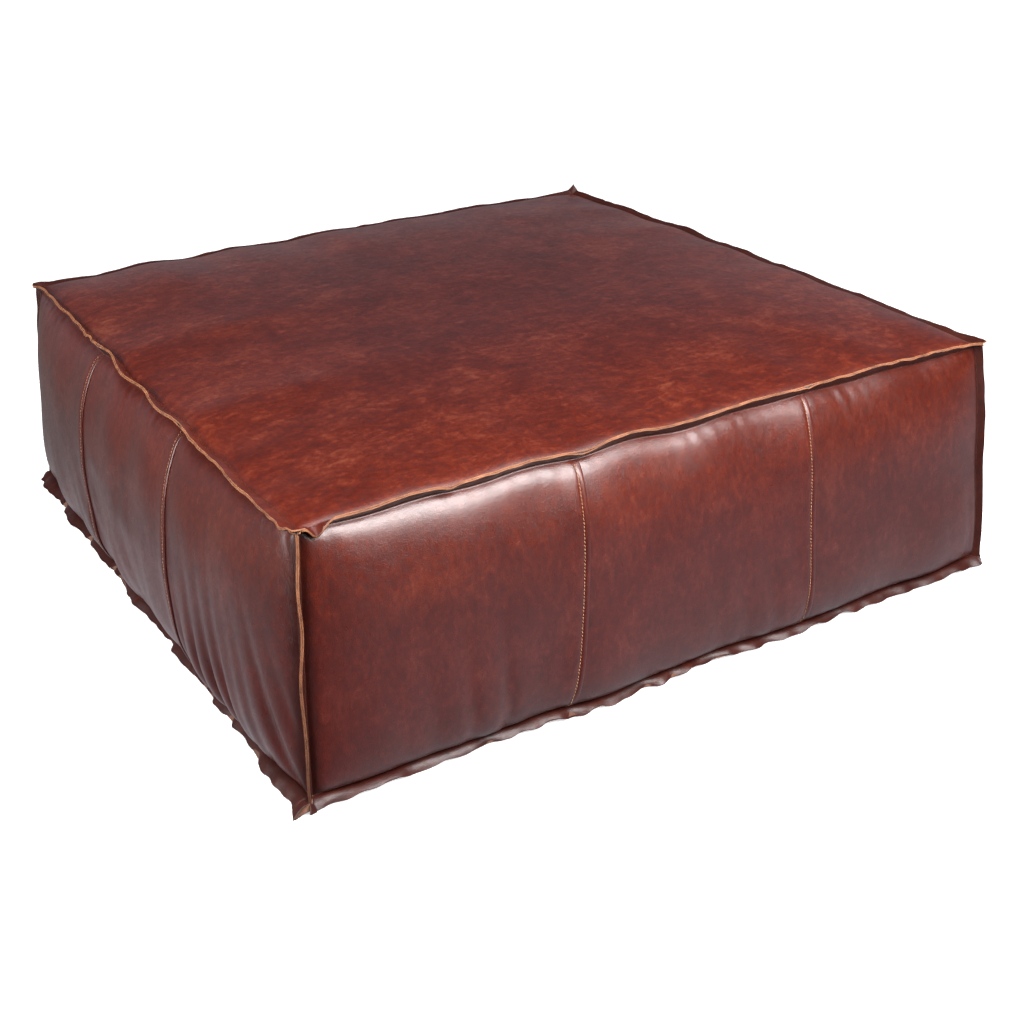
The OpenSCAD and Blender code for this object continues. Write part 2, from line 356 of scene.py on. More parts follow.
def from_grid(name, p, materials=(), closed=False, capped=False, inner=None):
    """A mesh object from a grid of points.
    Faces outside the inner rows and columns take the fourth material."""
    n, m = p.shape[:2]
    faces = quads(n, m, closed)
    if capped:
        faces.append(tuple(i * m for i in reversed(range(n))))
        faces.append(tuple(i * m + m - 1 for i in range(n)))
    ob = make(name, p.reshape(-1, 3), faces, materials)
    if inner:
        i0, i1, j0, j1 = inner
        for face in ob.data.polygons:
            i, j = divmod(face.index, m - 1)
            face.material_index = 0 if i0 <= i < i1 and j0 <= j < j1 else 3
    return ob


def thicken(ob, amount, offset=-1, flesh=1, rim=2, fine=True):
    """Gives a skin thickness, on its inner side unless offset says otherwise."""
    if fine:
        sub = ob.modifiers.new("fine", "SUBSURF")
        sub.levels = sub.render_levels = 1
        sub.boundary_smooth = "PRESERVE_CORNERS"
    sol = ob.modifiers.new("thick", "SOLIDIFY")
    sol.thickness, sol.offset = amount, offset
    sol.material_offset, sol.material_offset_rim = flesh, rim
    return ob


def stands_for(ob, node_name):
    """Attaches a piece of the pouf to the pouf's body and hides the CAD node it stands for."""
    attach(ob, "pouf")
    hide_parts(node_name)


def steps(length, near_start, near_end, pitch):
    """Distances from 0 to length, with the given ones at each end."""
    a, b = np.array(near_start), length - np.array(near_end)[::-1]
    n = max(2, int(round((b[0] - a[-1]) / pitch)))
    return np.concatenate([a, np.linspace(a[-1], b[0], n + 1)[1:-1], b])


# spacing of the mesh rows beside a seam, under a lap and over one, and out a flange
EDGE = np.array([0, 1.5, 3.5, 6, 9.5, 14, 20]) / 1000
UNDER = np.array([0, 1.5, 3.5, 6, 10, 16]) / 1000
OVER = np.array([0, 0.4, 1.2, 2.6, 4.2, 5.6, 6.4, 7.0, 7.6, 8.6, 10.5, 14, 19]) / 1000
REACH = np.array([0.12, 0.28, 0.46, 0.64, 0.82, 0.93, 1.0])
Q = len(REACH)


# ---- cover panels
def seam_share(k, i, v):
    """Panel seam i of side k at height v, as a share from -1 to 1."""
    top, base = PANEL_SEAMS[k][i]
    return base + (top - base) * v + 0.010 * np.sin(np.pi * v) * (1, -0.6)[i] * (1, -1, 1, -1)[k]


def rolled(d):
    return 1 - np.exp(-d / ROLL)


def gathers(k, s, v):
    """Soft folds that rise from the base seam, and small puckers under the top seam."""
    y = s * TOP_HALF
    drift = y + DRIFT[k] * v * (0.6 + 0.4 * np.sin(9 * y + k))
    fold = 1 - np.exp(-1.1 * waves(drift, 300 + k, 17, 31, 6))
    patch = 0.30 + 0.70 * np.clip(waves(y, 310 + k, 1.2, 3.5, 4), -0.4, 1)
    if k == 3:                      # most of them near the near corner
        patch = 0.25 + 0.85 * bell(s, 0.69, 0.15) + 0.5 * bell(s, -0.32, 0.10)
    lift = 0.0027 * GATHERED[k] * fold * patch * (smooth(v / 0.05) * bell(v, 0, 0.36))
    fold = waves(y - 0.10 * (1 - v), 320 + k, 32, 75, 8)
    patch = 0.25 + 0.75 * np.clip(waves(y, 330 + k, 2, 6, 5), 0, 1) + 0.9 * np.abs(s) ** 10
    top = smooth((1 - v) / 0.02) * np.exp(-((1 - v) / 0.11) ** 1.5)
    low = smooth(v / 0.02) * np.exp(-(v / 0.07) ** 1.5)
    pucker = 0.0006 * waves(y, 340 + k, 75, 120, 6) * np.abs(s) ** 9 * top
    return lift + 0.00075 * fold * patch * (top + low) + pucker


def side_point(k, s, v):
    """Grain side of side k away from its laps, eased onto the plies at its edges."""
    out = SIDES[k][1]
    down, rise, right, left = (1 - v) * HEIGHT, v * HEIGHT, (1 - s) / 2 * WIDTH, (1 + s) / 2 * WIDTH
    p = sample(cover[k], (s + 1) / 2, v)
    p = p + out * col(gathers(k, s, v) * smooth((1 - np.abs(s)) / 0.04))
    p = p + out * col(ROLL * (1 + LOW_ROLL[k] * (1 - v) ** 3) * rolled(down) * rolled(rise)
                      * rolled(right) * rolled(left))
    for d, (mid, n), sign in ((down, top_flange(k, s, 0 * s), -1), (rise, base_flange(k, s, 0 * s), 1),
                              (right, corner_flange(k, v, 0 * v), -1),
                              (left, corner_flange((k - 1) % 4, v, 0 * v), 1)):
        p = p + n * col(sign * PLY * (1 - smooth(d / 0.012)))
    return p


def lap_lift(x):
    """Height of the overlapping end over the skin, x from its folded edge inward."""
    full = 0.0012 * (1 - smooth((x - 0.010) / 0.020)) * np.clip(x / 0.0012, 0, 1) ** 0.5
    return full - 0.0010 * bell(x, LAP_STITCH, 0.0018) + 0.0005 * bell(x, 0.0035, 0.0022)


def side_panel(k, i):
    """Grid of a side panel with its flange plies, from left to right and base to top."""
    width = WIDTH / 3
    first, last = i == 0, i == 2
    x = steps(width, EDGE if first else UNDER, EDGE if last else OVER, 0.0072)
    v1 = steps(HEIGHT, EDGE, EDGE, 0.0085) / HEIGHT
    s0 = -1 + 0 * v1 if first else seam_share(k, i - 1, v1)
    s1 = 1 + 0 * v1 if last else seam_share(k, i, v1)
    S = s0[None] + (s1 - s0)[None] * (x / width)[:, None]
    V = np.broadcast_to(v1[None], S.shape)
    body = side_point(k, S, V)
    out = SIDES[k][1]
    ends = (smooth(V * HEIGHT / 0.02) * smooth((1 - V) * HEIGHT / 0.02)) * 0.85 + 0.15
    if not last:
        body = body + out * col(lap_lift(width - x)[:, None] * ends)
    if not first:                   # sunk a little, with a row that runs on under the lap
        body = body - out * col((0.0005 * (1 - smooth(x / 0.02)))[:, None] * ends)
        body = np.concatenate([body[:1] - SIDES[k][0] * 0.010 - out * 0.0016, body])
        S, V = np.concatenate([S[:1], S]), np.concatenate([V[:1], V])
    n, m = body.shape[:2]
    left, right = Q * first, Q * last
    p = np.zeros((n + left + right, m + 2 * Q, 3))
    p[left:left + n, Q:Q + m] = body
    # flanges along the top and the base
    for rows, fn, edge, sign, seed in ((slice(Q + m, None), top_flange, -1, -1, 200),
                                       (slice(0, Q), base_flange, 0, 1, 220)):
        s = col(S[:, edge])
        r = np.broadcast_to(REACH[None, ::-sign], (n, Q))
        knot = top_knots(k, s) if sign < 0 else 0.0
        mid, nor = fn(k, np.broadcast_to(s, (n, Q)), r)
        p[left:left + n, rows] = ply(mid, nor, sign, r, seed + k, s * TOP_HALF, knot)
    # flanges at the corners, with the square of leather above and below each
    for here, c, sign, cols, edge in ((first, (k - 1) % 4, 1, slice(0, left), left),
                                      (last, k, -1, slice(left + n, None), left + n - 1)):
        if not here:
            continue
        u = REACH[::-sign]
        r, v = np.broadcast_to(u[:, None], (Q, m)), np.broadcast_to(V[:1], (Q, m))
        p[cols, Q:Q + m] = ply(*corner_flange(c, v, r), sign, r, 240 + c, v * RISE)
        for rows, row, fan in ((slice(Q + m, None), Q + m - 1, REACH), (slice(0, Q), Q, REACH[::-1])):
            base = p[edge, row]
            both = (p[edge, rows] - base)[None] + (p[cols, row] - base)[:, None]
            p[cols, rows] = base + both * EAR - both * 0.25 * col(np.minimum.outer(u, fan))
        p[..., 2] = np.maximum(p[..., 2], LOWEST)
        if (k, i) in ((0, 0), (3, 2)):      # the near lower ear is drawn out into a tip
            start = p[edge, Q]
            along, away = p[edge, :Q] - start, p[cols, Q] - start
            spare = np.array(NEAR_TIPS[k]) - start - along[0] - away[0 if first else -1]
            p[cols, :Q] = start + along[None] + away[:, None] + spare * col(np.outer(u, REACH[::-1]))
    p[..., 2] = np.maximum(p[..., 2], LOWEST)
    return p


def top_panel():
    s = 2 * steps(WIDTH, EDGE, EDGE, 0.0105) / WIDTH - 1
    X, Y = np.meshgrid(s, s, indexing="ij")
    body = sample(cover[4], (X + 1) / 2, (Y + 1) / 2)
    body = body + UP * col(ROLL * rolled((1 - X) * TOP_HALF) * rolled((1 + X) * TOP_HALF)
                           * rolled((1 - Y) * TOP_HALF) * rolled((1 + Y) * TOP_HALF))
    for d, k, share in ((Y + 1, 0, X), (1 - X, 1, Y), (1 - Y, 2, -X), (X + 1, 3, -Y)):
        n = top_flange(k, share, 0 * share)[1]
        body = body + n * col(PLY * (1 - smooth(d / 2 * WIDTH / 0.014)))
    n = len(s)
    p = np.zeros((n + 2 * Q, n + 2 * Q, 3))
    low, mid, high = slice(0, Q), slice(Q, Q + n), slice(Q + n, None)
    p[mid, mid] = body
    r = np.broadcast_to(REACH[None], (n, Q))
    f = []
    for k, share in enumerate((s, s, -s, -s)):
        x = np.broadcast_to(share[:, None], (n, Q))
        f.append(ply(*top_flange(k, x, r), 1, r, 260 + k, x * TOP_HALF, top_knots(k, x)))
    p[mid, low], p[mid, high] = f[0][:, ::-1], f[2]
    p[high, mid], p[low, mid] = f[1].transpose(1, 0, 2), f[3].transpose(1, 0, 2)[::-1]
    a0, a1 = Q, Q + n - 1
    for a, b, ea, eb in ((low, low, a0, a0), (high, low, a1, a0), (high, high, a1, a1), (low, high, a0, a1)):
        corner = p[ea, eb]
        f, g = (p[a, eb] - corner)[:, None], (p[ea, b] - corner)[None]
        blunt = np.minimum.outer(REACH[::-1] if a is low else REACH, REACH[::-1] if b is low else REACH)
        ear = corner + (f + g) * col(1 - 0.20 * blunt)
        ear[..., 2] = corner[2] + np.maximum(f[..., 2], g[..., 2])
        if a is high and b is high:         # the far right ear is bent up
            ear[..., 2] += 0.009 * blunt
        p[a, b] = ear
    return p


# ---- material helpers
def new_material(name):
    mat = bpy.data.materials.new(name)
    mat.use_nodes = True
    return mat, mat.node_tree


def plug(nt, socket, value):
    """Links an output to a socket, or sets the socket to a number, vector or colour."""
    if isinstance(value, bpy.types.NodeSocket):
        nt.links.new(value, socket)
    else:
        full = isinstance(value, tuple) and len(value) == 3 and socket.type == "RGBA"
        socket.default_value = (*value, 1) if full else value


def wire(mat, **sockets):
    nt = mat.node_tree
    for key, value in sockets.items():
        plug(nt, nt.nodes["Principled BSDF"].inputs[key.replace("_", " ")], value)
    return mat


def node(nt, kind, inputs={}, **settings):
    n = nt.nodes.new("ShaderNode" + kind)
    for key, value in settings.items():
        setattr(n, key, value)
    for key, value in inputs.items():
        plug(nt, n.inputs[key], value)
    return n


def ramp(nt, factor, *stops):
    r = node(nt, "ValToRGB", {"Fac": factor})
    while len(r.color_ramp.elements) < len(stops):
        r.color_ramp.elements.new(0.5)
    for e, (pos, c) in zip(r.color_ramp.elements, stops):
        e.position, e.color = pos, (*c, 1)
    return r.outputs["Color"]


def grey(v):
    return (v, v, v)


def mapped(nt, scale=(1, 1, 1), shift=(0, 0, 0), turn=(0, 0, 0)):
    place = node(nt, "TexCoord").outputs["Object"]
    return node(nt, "Mapping", {"Vector": place, "Scale": scale, "Location": shift,
                "Rotation": turn}).outputs["Vector"]


def noise(nt, vector, scale, detail=4, rough=0.55, distort=0.0, out="Fac"):
    return node(nt, "TexNoise", {"Vector": vector, "Scale": scale, "Detail": detail,
                "Roughness": rough, "Distortion": distort}).outputs[out]


def mix(nt, factor, a, b, blend_type="MIX"):
    return node(nt, "Mix", {0: factor, 6: a, 7: b}, data_type="RGBA",
                blend_type=blend_type).outputs[2]


def multiplied(nt, a, b):
    return mix(nt, 1.0, a, b, "MULTIPLY")


def maths(nt, op, a, b=0.0):
    return node(nt, "Math", {0: a, 1: b}, operation=op).outputs[0]


def times(nt, a, b):
    return maths(nt, "MULTIPLY", a, b)


def plus(nt, a, b):
    return maths(nt, "ADD", a, b)


def summed(nt, *parts):
    """Weighted sum of outputs, from pairs of an output and its weight."""
    parts = [times(nt, out, weight) for out, weight in parts]
    total = parts[0]
    for part in parts[1:]:
        total = plus(nt, total, part)
    return total


def bump(nt, height, strength, distance, under=None):
    b = node(nt, "Bump", {"Height": height, "Strength": strength, "Distance": distance})
    if under:
        plug(nt, b.inputs["Normal"], under)
    return b.outputs["Normal"]


def apart(nt, vector):
    return node(nt, "SeparateXYZ", {0: vector}).outputs


# ---- materials
# the leather's colours, from its darkest wax to where the wax has rubbed off
HIDE = [(0.40, (0.082, 0.0080, 0.0038)), (0.49, (0.122, 0.0130, 0.0052)),
        (0.55, (0.168, 0.0220, 0.0088)), (0.63, (0.240, 0.0540, 0.0260))]
SCUFF = (0.27, 0.082, 0.048)


def leather(name, shift, tint=1.0, shine=0.36, fleck=1.0, graded=None, run=(0.9, 2.2, 1.6), coat=0.40,
            spec=0.5):
    """Waxed pull-up leather: mottled, with fine grain, rubbed streaks and pale scuffs.
    The grading argument, "edges" or "height", makes the top darker in its middle than towards its edges, or
    paints shade with a painted bluish floor reflection over the lower part of a side, giving way to the full
    colour higher up, and painted shade in the hollows beside its upright corner seams; run is the scale of
    the rubbed streaks."""
    mat, nt = new_material(name)
    v = mapped(nt, shift=shift)
    cloud = noise(nt, v, 13.0, 5, 0.62, 0.5)
    patch = noise(nt, v, 88, 7, 0.74, 0.9)
    fine = noise(nt, v, 150, 5, 0.7, 0.3)
    turn = (0.1, 0.1, 0) if graded == "height" else (0.2, 0.3, 0.5)
    streak = noise(nt, mapped(nt, run, shift, turn), 42, 7, 0.76, 0.9)
    tone = summed(nt, (cloud, 0.22), (patch, 0.28), (streak, 0.34), (fine, 0.16))
    tone = plus(nt, times(nt, maths(nt, "SUBTRACT", tone, 0.5), fleck), 0.5)
    colour = ramp(nt, tone, *((at, tuple(tint * c for c in shade)) for at, shade in HIDE))
    scuff = noise(nt, mapped(nt, (1, 6, 3), shift, (0.5, 0.2, 1.1)), 46, 8, 0.75, 1.2)
    scuff = ramp(nt, scuff, (0.63, grey(0)), (0.74, grey(0.35 * fleck)))
    colour = mix(nt, scuff, colour, tuple(tint * c for c in SCUFF))
    if graded:
        x, y, z = apart(nt, mapped(nt))
        x, y = maths(nt, "ABSOLUTE", x), maths(nt, "ABSOLUTE", y)
        # on a side: painted shade with a painted bluish floor reflection over about its lower half, fading
        # out higher up
        at, dark, first, last = z, (0.71, 0.72, 1.15), 0.50, 0.80
        # on the top: darker in the middle and lighter towards its edges
        if graded == "edges":
            at = times(nt, maths(nt, "MAXIMUM", x, y), 0.72)
            dark, first, last = (0.70, 0.64, 0.78), 0.30, 0.95
        wander = times(nt, maths(nt, "SUBTRACT", plus(nt, cloud, streak), 1.0), 0.30)
        share = plus(nt, times(nt, at, 3.0), wander)
        colour = multiplied(nt, colour, ramp(nt, share, (first, dark), (last, grey(1))))
    if graded == "height":        # painted shade in the hollows beside the upright corner seams
        lean = times(nt, z, (BASE_HALF - TOP_HALF) / TOP_Z)
        corner_shade = plus(nt, maths(nt, "MINIMUM", x, y), lean)
        corner_shade = times(nt, maths(nt, "SUBTRACT", corner_shade, BASE_HALF - 0.016), 62.0)
        colour = multiplied(nt, colour, ramp(nt, corner_shade, (0.25, grey(1)), (0.80, grey(0.62))))
    # pebbled grain, pores and soft creases
    warp = mix(nt, 0.002, v, noise(nt, v, 90.0, 2.0, 0.5, 0.0, "Color"))
    cells = node(nt, "TexVoronoi", {"Vector": warp, "Scale": 520}, feature="DISTANCE_TO_EDGE")
    grain = ramp(nt, cells.outputs["Distance"], (0.0, grey(0)), (0.28, grey(1)))
    normal = bump(nt, patch, 0.30, 0.0012, bump(nt, grain, 0.22, 0.0003))
    return wire(mat, Base_Color=colour, Specular_IOR_Level=spec, Coat_Weight=coat, Coat_Roughness=0.29,
                Roughness=ramp(nt, patch, (0.30, grey(shine + 0.13)), (0.66, grey(shine - 0.05))),
                Normal=bump(nt, fine, 0.20, 0.0006, normal))


def cut_edge():
    """Raw tan edge of the leather, fibrous and unevenly waxed, with painted shade darkening it towards the
    floor.
    """
    mat, nt = new_material("cut_edge")
    v = mapped(nt)
    fibre = noise(nt, v, 900, 4, 0.7)
    tone = summed(nt, (noise(nt, v, 60, 4, 0.6), 0.7), (fibre, 0.3))
    tan = ramp(nt, tone, (0.33, (0.085, 0.026, 0.011)), (0.46, (0.20, 0.069, 0.026)),
               (0.64, (0.30, 0.118, 0.052)))
    # painted shade: the cut edge darker towards the floor, most of all along the base flanges
    floor_shade = ramp(nt, times(nt, apart(nt, v)["Z"], 3.0), (0.04, (0.27, 0.22, 0.21)),
                (0.5, (0.8, 0.78, 0.75)), (0.9, grey(1)))
    return wire(mat, Base_Color=multiplied(nt, tan, floor_shade), Roughness=0.62,
                Normal=bump(nt, fibre, 0.5, 0.0003))


def flesh_side():
    mat, nt = new_material("flesh_side")
    v = mapped(nt)
    nap = noise(nt, v, 700, 5, 0.75)
    tone = summed(nt, (noise(nt, v, 18, 5, 0.6), 0.6), (nap, 0.4))
    return wire(mat, Base_Color=ramp(nt, tone, (0.35, (0.075, 0.026, 0.014)), (0.65, (0.17, 0.070, 0.038))),
         Roughness=0.88, Sheen_Weight=0.35, Normal=bump(nt, nap, 0.6, 0.0004))


def strands(nt, scale, distortion, detail, turn):
    return node(nt, "TexWave", {"Vector": mapped(nt, turn=turn), "Scale": scale,
                "Detail": detail, "Distortion": distortion}).outputs["Fac"]


def yarn(name, dark, light, sheen=0.2):
    """Twisted thread."""
    mat, nt = new_material(name)
    twist = strands(nt, 420.0, 1.5, 2.0, (0.6, 0.4, 0.3))
    return wire(mat, Base_Color=ramp(nt, twist, (0.2, dark), (0.8, light)), Roughness=0.62,
         Sheen_Weight=sheen, Specular_IOR_Level=0.3, Normal=bump(nt, twist, 0.6, 0.0002))


def woven(name, dark, light, pitch, rough=0.85):
    """Plain weave of crossing yarns, pitch in metres."""
    mat, nt = new_material(name)
    warp, weft = (strands(nt, 0.314 / pitch, 0.6, 1.0, (0, 0, turn)) for turn in (0, math.pi / 2))
    weave = times(nt, plus(nt, warp, weft), 0.5)
    tone = summed(nt, (weave, 0.6), (noise(nt, mapped(nt), 30, 4), 0.4))
    return wire(mat, Base_Color=ramp(nt, tone, (0.25, dark), (0.75, light)), Roughness=rough,
         Sheen_Weight=0.25, Normal=bump(nt, weave, 0.5, 0.0003))


def spongy(name, dark, light, scale, strength):
    mat, nt = new_material(name)
    v = mapped(nt)
    cells = node(nt, "TexVoronoi", {"Vector": v, "Scale": scale}).outputs["Distance"]
    tone = summed(nt, (cells, 0.5), (noise(nt, v, 12, 5), 0.6))
    return wire(mat, Base_Color=ramp(nt, tone, (0.25, dark), (0.75, light)), Roughness=0.92,
         Normal=bump(nt, cells, strength, 0.001))


def metal(name, dark, light, rough):
    mat, nt = new_material(name)
    v = mapped(nt)
    wear = noise(nt, v, 240, 5, 0.65)
    return wire(mat, Base_Color=ramp(nt, wear, (0.35, dark), (0.62, light)), Metallic=1.0,
         Roughness=ramp(nt, wear, (0.3, grey(rough + 0.15)), (0.7, grey(rough - 0.05))),
         Normal=bump(nt, noise(nt, v, 2200, 3), 0.15, 0.0001))


EDGE_MAT, FLESH = cut_edge(), flesh_side()
THREAD = yarn("waxed_thread", (0.20, 0.085, 0.040), (0.48, 0.26, 0.14))
SEAM_THREAD = yarn("brown_thread", (0.040, 0.010, 0.006), (0.090, 0.026, 0.014), 0.0)
COTTON = woven("cotton", (0.42, 0.38, 0.31), (0.68, 0.63, 0.54), 0.0009)
TAPE = woven("zip_tape", (0.018, 0.010, 0.008), (0.055, 0.032, 0.026), 0.0007, 0.8)
FOAM = spongy("foam", (0.58, 0.48, 0.22), (0.80, 0.72, 0.44), 620, 0.7)
WADDING = spongy("wadding", (0.66, 0.65, 0.62), (0.88, 0.87, 0.84), 160, 0.5)
BRASS = metal("zip_brass", (0.30, 0.18, 0.06), (0.72, 0.50, 0.22), 0.32)
NICKEL = metal("antique_nickel", (0.22, 0.19, 0.15), (0.60, 0.55, 0.47), 0.34)
BASE_LEATHER = leather("base_leather", (5.1, 2.2, 0.7), 0.50, 0.50)
# the same leather as the panels at under half their brightness and less glossy: the darkness is painted
# shade on the flanges it is given to
FLANGE_SHADE_MAT = leather("flange_leather_shaded", (3.3, 1.4, 2.6), 0.25, 0.46, coat=0.14, spec=0.36)
TOP_LEATHER = leather("top_leather", (0, 0, 0), 0.62, 0.34, 1.3, graded="edges")
SIDE_TINTS = (0.55, 0.58, 0.52, 0.56, 0.54, 0.59)


# ---- cover pieces
def cover_piece(name, grid, mat, inner, node_name):
    """A leather skin with its flanges, from the grid of its grain side."""
    ob = from_grid(name, grid, (mat, FLESH, EDGE_MAT, FLANGE_SHADE_MAT, FLESH, EDGE_MAT), inner=inner)
    thicken(ob, LEATHER)
    stands_for(ob, node_name)
    return ob


PANELS = {}
grid = top_panel()
end = grid.shape[0] - 1 - Q
top = cover_piece("top_cover", grid, TOP_LEATHER, (0, end, 0, end), "top_panel")
for k in range(4):
    for i in range(3):
        shift = (1.7 * k + 0.61 * i, 0.9 * i - 0.5 * k, 0.37 * i + 2.1 * k)
        name = f"{SIDE_NAMES[k]}_side_{PANEL_NAMES[i]}"
        # graded by height: painted shade and a painted bluish floor reflection low on each side, and painted
        # shade by the corner seams
        mat = leather(name + "_leather", shift, SIDE_TINTS[(2 * k + i) % 6], 0.30, 0.85, graded="height",
                      run=(2.6, 2.6, 1.0))
        grid = side_panel(k, i)
        inner = (Q * (i == 0), grid.shape[0] - 1 - Q * (i == 2), Q, grid.shape[1] - 1 - Q)
        PANELS[k, i] = cover_piece(name, grid, mat, inner, f"{SIDE_NAMES[k]}_panel_{PANEL_NAMES[i]}")

# ---- base and zip
CHANNEL, WALL, LIP, LIP_Z = 0.320, 0.0335, 0.0060, 0.0142
# (y, z) points down the channel's wall and along its lip, and up into the middle seam
LIP_LINE = [(WALL + 0.004, TABLE), (WALL + 0.001, TABLE + 0.0006), (WALL, TABLE + 0.003),
            (WALL, LIP_Z - 0.003), (WALL - 0.0008, LIP_Z - 0.0006), (WALL - 0.003, LIP_Z),
            (WALL - 0.012, LIP_Z), (LIP + 0.002, LIP_Z), (LIP, LIP_Z)]
SEAM_LINE = [(y, TABLE + up) for y, up in (
    (0.012, 0), (0.006, 0), (0.0030, 0.0003), (0.0010, 0.0014), (0.0004, 0.004), (0.0004, 0.0065),
    (0.0006, 0.008), (0.0008, 0.0095), (0.0010, 0.011))]
INWARD = [0.010, 0.022, 0.045, 0.09, 0.15, 0.21, 0.27, 0.33, 0.385, 0.42]


def base_ply(side, s, turn=1):
    """Grain side of a base flange's lower ply, columns outward."""
    r = np.broadcast_to(REACH, s.shape[:-1] + (Q,))
    return ply(*base_flange(side, np.broadcast_to(s, r.shape), r), -1, r, 280 + side, s * turn * TOP_HALF)


def base_panel(sign):
    """Half of the base: flat on the floor, sewn up at the middle, sunk round the zip."""
    bm = bmesh.new()
    verts = {}

    def put(p):
        key = tuple(round(float(c), 6) for c in p)
        if key not in verts:
            verts[key] = bm.verts.new(key)
        return verts[key]

    def add(g, keep):
        for i in range(len(g) - 1):
            for j in range(len(g[0]) - 1):
                quad = [g[i][j], g[i][j + 1], g[i + 1][j + 1], g[i + 1][j]]
                quad = [put(p) for p in (quad if keep else quad[::-1])]
                if len(set(quad)) == 4 and bm.faces.get(quad) is None:
                    bm.faces.new(quad)

    def floored(g):
        g[..., 2] = np.maximum(g[..., 2], TABLE)
        return g

    xs = steps(2 * BASE_HALF, EDGE, EDGE, 0.016) - BASE_HALF
    xs = np.unique(np.concatenate([xs[np.abs(np.abs(xs) - CHANNEL) > 0.006], [-CHANNEL, CHANNEL]]))
    side = 0 if sign < 0 else 2
    lip = floored(base_ply(side, -sign * xs[:, None] / BASE_HALF, -sign))
    seam_row = lip[:, 0].copy()
    seam_row[:, 1] -= sign * 0.002
    rows = [lip[:, j] for j in range(Q - 1, -1, -1)] + [seam_row]
    rows += [np.stack([xs, 0 * xs + sign * (BASE_HALF - d), 0 * xs + TABLE], -1) for d in INWARD]
    for part in (xs <= -CHANNEL, np.abs(xs) <= CHANNEL, xs >= CHANNEL):
        x = xs[part]
        last = LIP_LINE if abs(x.mean()) < 0.01 else SEAM_LINE
        grid = [row[part] for row in rows]
        add(grid + [np.stack([x, 0 * x + sign * y, 0 * x + z], -1) for y, z in last], sign > 0)
    # the flanges along the two ends
    ys = np.array([sign * (BASE_HALF - d) for d in [0.002] + INWARD] + [sign * (WALL + 0.004), sign * 0.004])
    for side, e in ((1, 1), (3, -1)):
        g = floored(base_ply(side, e * ys[:, None] / BASE_HALF))
        start = np.stack([0 * ys + e * (BASE_HALF - 0.004), ys, 0 * ys + TABLE], -1)[:, None]
        add(np.concatenate([start, g], 1), sign * e > 0)
    # a square ear of leather at each corner
    for side, e in ((3, -1), (1, 1)):
        f = lip[0 if e < 0 else -1]
        g = base_ply(side, np.full(Q, float(sign * e)))
        corner, none = f[0], 0 * f[:1]
        f, g = np.concatenate([none, f - corner]), np.concatenate([none, g - g[0]])
        ear = corner + (f[:, None] + g[None]) * EAR
        if (e, sign) == (-1, -1):       # the near one is drawn out into a tip
            w = np.concatenate([[0], (REACH - REACH[0]) / (1 - REACH[0])])
            spare = np.array(NEAR_TIPS["base"]) - corner - f[-1] - g[-1]
            ear = corner + f[:, None] + g[None] + spare * col(np.outer(w, w))
        add(floored(ear).transpose(1, 0, 2), sign * e > 0)
    me = bpy.data.meshes.new("base")
    bm.to_mesh(me)
    bm.free()
    return me


BASES = {}
for sign, word in ((-1, "front"), (1, "rear")):
    ob = placed(f"base_{word}_leather", base_panel(sign), (BASE_LEATHER, FLESH, EDGE_MAT))
    BASES[sign] = thicken(ob, LEATHER)
    stands_for(ob, f"base_panel_{word}")
    y = sign * np.array([0.0165, 0.0155, 0.0100, 0.0052, 0.0034, 0.0031])
    z = np.array([0.0160, 0.0162, 0.0161, 0.0162, 0.0165, 0.0160])
    p = np.array([np.stack([0 * y + x, y, z], -1)[::-1] for x in np.linspace(-0.309, 0.309, 160)])
    tape = thicken(from_grid(f"zip_tape_{word}_woven", p, (TAPE,)), 0.0005, flesh=0, rim=0)
    stands_for(tape, f"zip_tape_{word}")

# (x, z) points of an end tab, up the channel's end and over its lips, and its share of width
TAB = [(0.3190, 0.0006, 1), (0.3184, 0.0020, 1), (0.3182, 0.0070, 1), (0.3180, 0.0115, 1),
       (0.3172, 0.0131, 0.97), (0.3155, 0.0136, 0.9), (0.3115, 0.0136, 0.68), (0.3055, 0.0136, 0.64)]
for sign, word in ((-1, "left"), (1, "right")):
    ys = np.concatenate([[-0.0315, -0.0295], np.linspace(-0.026, 0.026, 14), [0.0295, 0.0315]])
    p = np.array([[(sign * x, y * wide, z) for x, z, wide in TAB] for y in ys])
    tab = from_grid(f"zip_end_{word}_leather", p[::sign], (FLESH, BASE_LEATHER, EDGE_MAT))
    thicken(tab, 0.0014)
    stands_for(tab, f"zip_end_tab_{word}")

for name in ("teeth_front", "teeth_rear", "top_stops", "bottom_stop", "slider", "pull_tab"):
    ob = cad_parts["zip_" + name]
    mat, edge = (BRASS, 0.00012) if name.startswith("teeth") else (NICKEL, 0.0003)
    for slot in ob.material_slots:
        slot.material = mat
    ob.modifiers.new("weld", "WELD").merge_threshold = 0.00001
    bev = ob.modifiers.new("rounded", "BEVEL")
    bev.width, bev.segments, bev.limit_method, bev.angle_limit = edge, 2, "ANGLE", math.radians(40)


# ---- stitches
PER = 8             # points of a line for each stitch
SHAPE = np.array([-0.5, -0.44, -0.25, 0.0, 0.25, 0.44, 0.5])       # rings along a stitch
ROUND = 7           # points round a ring


def spaced(line, pitch):
    """Points along a line at an even pitch."""
    d = np.concatenate([[0], np.cumsum(np.linalg.norm(np.diff(line, axis=0), axis=1))])
    n = max(3, int(d[-1] / pitch))
    t = np.linspace(0, d[-1], n * PER + 1)
    return np.stack([np.interp(t, d, line[:, c]) for c in range(3)], -1), n


